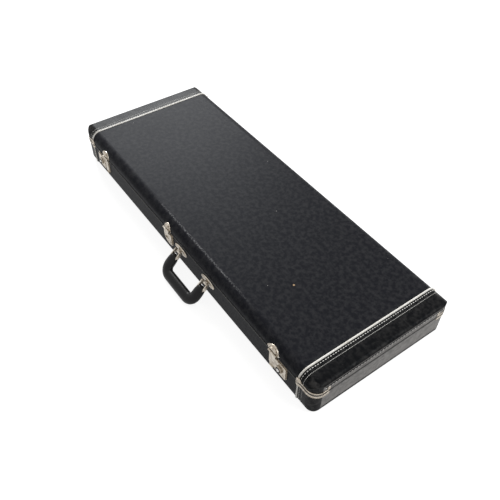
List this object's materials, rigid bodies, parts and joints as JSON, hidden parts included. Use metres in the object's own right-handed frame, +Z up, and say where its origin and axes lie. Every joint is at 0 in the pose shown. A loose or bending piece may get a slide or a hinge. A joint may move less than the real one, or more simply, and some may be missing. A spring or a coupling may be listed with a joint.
{
  "type": "electric guitar case",
  "caption": "Flat rectangular hard case with hinged lid, spring latches, key lock, carrying handle, piped end caps and a lined bed for an electric guitar.",
  "frame": {"origin": "centre of the bounding box, on the surface that the feet stand on", "axes": "+X along the case towards the body end of the guitar, +Z up out of the lid, the front with the handle towards -Y"},
  "size_m": [1.0624, 0.4614, 0.1128],
  "materials": {
    "tolex": "black grained vinyl cloth",
    "smooth": "black smooth vinyl",
    "piping": "cream piping",
    "plywood": "plain plywood",
    "nickel": "worn nickel plate",
    "steel_pin": "steel",
    "grip": "black moulded plastic",
    "rubber": "black rubber",
    "plush": "short pile plush"
  },
  "bodies": {
    "base": {"base_shell": "plywood", "base_cover": "tolex", "base_end_cap_left": "smooth", "base_end_cap_right": "smooth", "base_piping_left": "piping", "base_piping_right": "piping", "base_corner_bands": "nickel", "base_rivets": "nickel", "base_lip": "plush", "base_lining": "plush", "body_bed": "plush", "head_bed": "plush", "neck_side_pad": "plush", "neck_rest": "plush", "accessory_box": "plush", "feet": "rubber", "hinge_base_leaves": "nickel", "hinge_pins": "steel_pin", "latch_left_plate": "nickel", "latch_right_plate": "nickel", "lock_plate": "nickel", "handle_plates": "nickel", "handle_pivot_pins": "steel_pin"},
    "lid": {"lid_shell": "plywood", "lid_cover": "tolex", "lid_end_cap_left": "smooth", "lid_end_cap_right": "smooth", "lid_piping_left": "piping", "lid_piping_right": "piping", "lid_corner_bands": "nickel", "lid_rivets": "nickel", "lid_lining": "plush", "hinge_lid_leaves": "nickel", "latch_left_cap": "nickel", "latch_right_cap": "nickel", "lock_cap": "nickel", "hasp_pins": "steel_pin"},
    "handle": {"handle_grip": "grip", "handle_bails": "nickel", "handle_end_pins": "steel_pin"},
    "latch_left_hasp": {"latch_left_hasp": "nickel"},
    "latch_right_hasp": {"latch_right_hasp": "nickel"},
    "lock_hasp": {"lock_hasp": "nickel"},
    "latch_left_button": {"latch_left_button": "nickel"},
    "latch_right_button": {"latch_right_button": "nickel"},
    "lock_cylinder": {"lock_cylinder": "nickel"}
  },
  "joints": [
    {"name": "lid_hinge", "type": "hinge", "parent": "base", "child": "lid", "pos_m": [0, 0.22723, 0.0747], "axis": [-1, 0, 0], "range_deg": [0, 105]},
    {"name": "handle_swing", "type": "hinge", "parent": "base", "child": "handle", "pos_m": [0.076, -0.17557, 0.0555], "axis": [-1, 0, 0], "range_deg": [-25, 112]},
    {"name": "latch_left_hasp_hinge", "type": "hinge", "parent": "lid", "child": "latch_left_hasp", "pos_m": [-0.396, -0.17087, 0.0785], "axis": [-1, 0, 0], "range_deg": [0, 105]},
    {"name": "latch_right_hasp_hinge", "type": "hinge", "parent": "lid", "child": "latch_right_hasp", "pos_m": [0.396, -0.17087, 0.0785], "axis": [-1, 0, 0], "range_deg": [0, 105]},
    {"name": "lock_hasp_hinge", "type": "hinge", "parent": "lid", "child": "lock_hasp", "pos_m": [-0.0515, -0.17087, 0.0785], "axis": [-1, 0, 0], "range_deg": [0, 105]},
    {"name": "latch_left_button_slide", "type": "slide", "parent": "base", "child": "latch_left_button", "axis": [-1, 0, 0], "range_m": [0, 0.005], "stiffness_N_per_m": 400},
    {"name": "latch_right_button_slide", "type": "slide", "parent": "base", "child": "latch_right_button", "axis": [1, 0, 0], "range_m": [0, 0.005], "stiffness_N_per_m": 400},
    {"name": "lock_turn", "type": "hinge", "parent": "base", "child": "lock_cylinder", "pos_m": [-0.0335, -0.16827, 0.0449], "axis": [0, -1, 0], "range_deg": [0, 90]}
  ]
}
